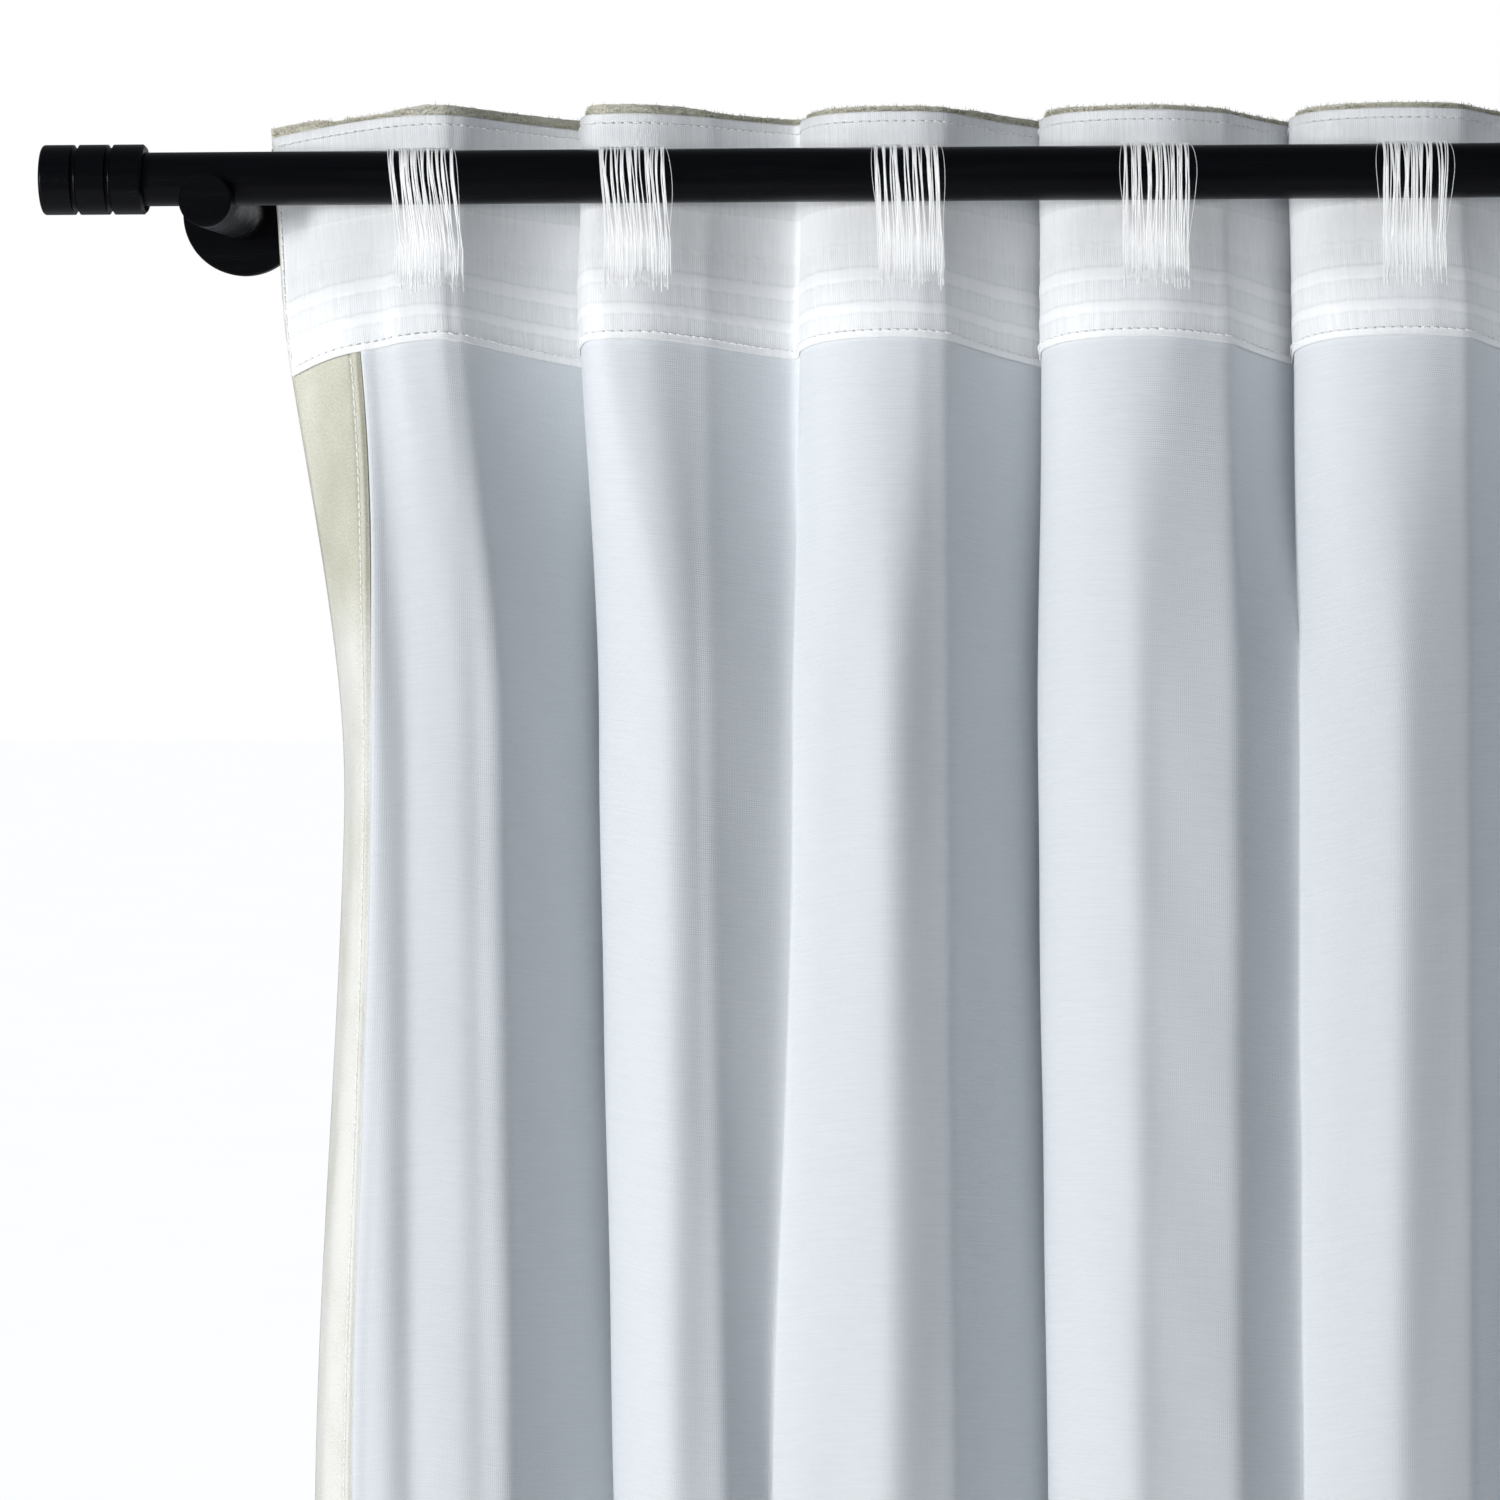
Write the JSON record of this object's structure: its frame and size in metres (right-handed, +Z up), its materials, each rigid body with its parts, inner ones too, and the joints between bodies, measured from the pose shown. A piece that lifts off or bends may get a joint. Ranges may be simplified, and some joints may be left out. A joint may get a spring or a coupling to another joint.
{
  "type": "curtain panel on rod",
  "caption": "Lined velvet curtain panel hung by thread loops on a round metal rod with finials and two wall brackets; draws open along the rod.",
  "frame": {"origin": "on the wall plane, midway between the four screw holes of the two wall plates", "axes": "+X along the rod to the right as seen from the room, +Y into the wall, +Z up; metres"},
  "size_m": [1.291, 0.128, 2.134],
  "materials": {
    "black_metal": "satin black powder coat",
    "zinc_steel": "zinc plated",
    "plug_plastic": "matte",
    "velvet": "cream cut-pile velvet",
    "lining": "pale blue-grey plain weave with fine slubs",
    "tape": "white woven heading tape with ribbed bands",
    "thread": "white twisted polyester thread"
  },
  "bodies": {
    "brackets": {"wall_plate_left": "zinc_steel", "wall_plate_right": "zinc_steel", "bracket_base_left": "black_metal", "bracket_base_right": "black_metal", "bracket_arm_left": "black_metal", "bracket_arm_right": "black_metal", "base_grub_screw_left": "zinc_steel", "base_grub_screw_right": "zinc_steel", "rod_set_screw_left": "zinc_steel", "rod_set_screw_right": "zinc_steel"},
    "rod": {"rod": "black_metal", "face_fabric": "velvet", "lining": "lining", "heading_tape": "tape"},
    "finial_left": {"finial_left": "black_metal", "finial_plug_left": "plug_plastic"},
    "finial_right": {"finial_right": "black_metal", "finial_plug_right": "plug_plastic"},
    "loop_1": {"thread_loop_1": "thread"},
    "loop_2": {"thread_loop_2": "thread"},
    "loop_3": {"thread_loop_3": "thread"},
    "loop_4": {"thread_loop_4": "thread"},
    "loop_5": {"thread_loop_5": "thread"},
    "loop_6": {"thread_loop_6": "thread"},
    "loop_7": {"thread_loop_7": "thread"},
    "loop_8": {"thread_loop_8": "thread"},
    "loop_9": {"thread_loop_9": "thread"}
  },
  "joints": [
    {"name": "rod_lift", "type": "slide", "parent": "brackets", "child": "rod", "axis": [0, 0, 1], "range_m": [0, 0.03]},
    {"name": "finial_left_pull", "type": "slide", "parent": "rod", "child": "finial_left", "axis": [-1, 0, 0], "range_m": [0, 0.032]},
    {"name": "finial_right_pull", "type": "slide", "parent": "rod", "child": "finial_right", "axis": [1, 0, 0], "range_m": [0, 0.032]},
    {"name": "curtain_draw", "type": "slide", "parent": "rod", "child": "loop_9", "axis": [-1, 0, 0], "range_m": [0, 0.6445], "deforming": ["face_fabric", "lining", "heading_tape"]},
    {"name": "loop_1_slide", "type": "slide", "parent": "rod", "child": "loop_1", "axis": [-1, 0, 0], "range_m": [0, 0.0468]},
    {"name": "loop_2_slide", "type": "slide", "parent": "rod", "child": "loop_2", "axis": [-1, 0, 0], "range_m": [0, 0.1108]},
    {"name": "loop_3_slide", "type": "slide", "parent": "rod", "child": "loop_3", "axis": [-1, 0, 0], "range_m": [0, 0.1934]},
    {"name": "loop_4_slide", "type": "slide", "parent": "rod", "child": "loop_4", "axis": [-1, 0, 0], "range_m": [0, 0.2683]},
    {"name": "loop_5_slide", "type": "slide", "parent": "rod", "child": "loop_5", "axis": [-1, 0, 0], "range_m": [0, 0.3451]},
    {"name": "loop_6_slide", "type": "slide", "parent": "rod", "child": "loop_6", "axis": [-1, 0, 0], "range_m": [0, 0.42]},
    {"name": "loop_7_slide", "type": "slide", "parent": "rod", "child": "loop_7", "axis": [-1, 0, 0], "range_m": [0, 0.4948]},
    {"name": "loop_8_slide", "type": "slide", "parent": "rod", "child": "loop_8", "axis": [-1, 0, 0], "range_m": [0, 0.5697]}
  ],
  "couplings": [
    {"joint": "loop_1_slide", "follows": "curtain_draw", "ratio": 0.072493},
    {"joint": "loop_2_slide", "follows": "curtain_draw", "ratio": 0.1718},
    {"joint": "loop_3_slide", "follows": "curtain_draw", "ratio": 0.2999},
    {"joint": "loop_4_slide", "follows": "curtain_draw", "ratio": 0.41609},
    {"joint": "loop_5_slide", "follows": "curtain_draw", "ratio": 0.53525},
    {"joint": "loop_6_slide", "follows": "curtain_draw", "ratio": 0.65144},
    {"joint": "loop_7_slide", "follows": "curtain_draw", "ratio": 0.76763},
    {"joint": "loop_8_slide", "follows": "curtain_draw", "ratio": 0.88381}
  ]
}
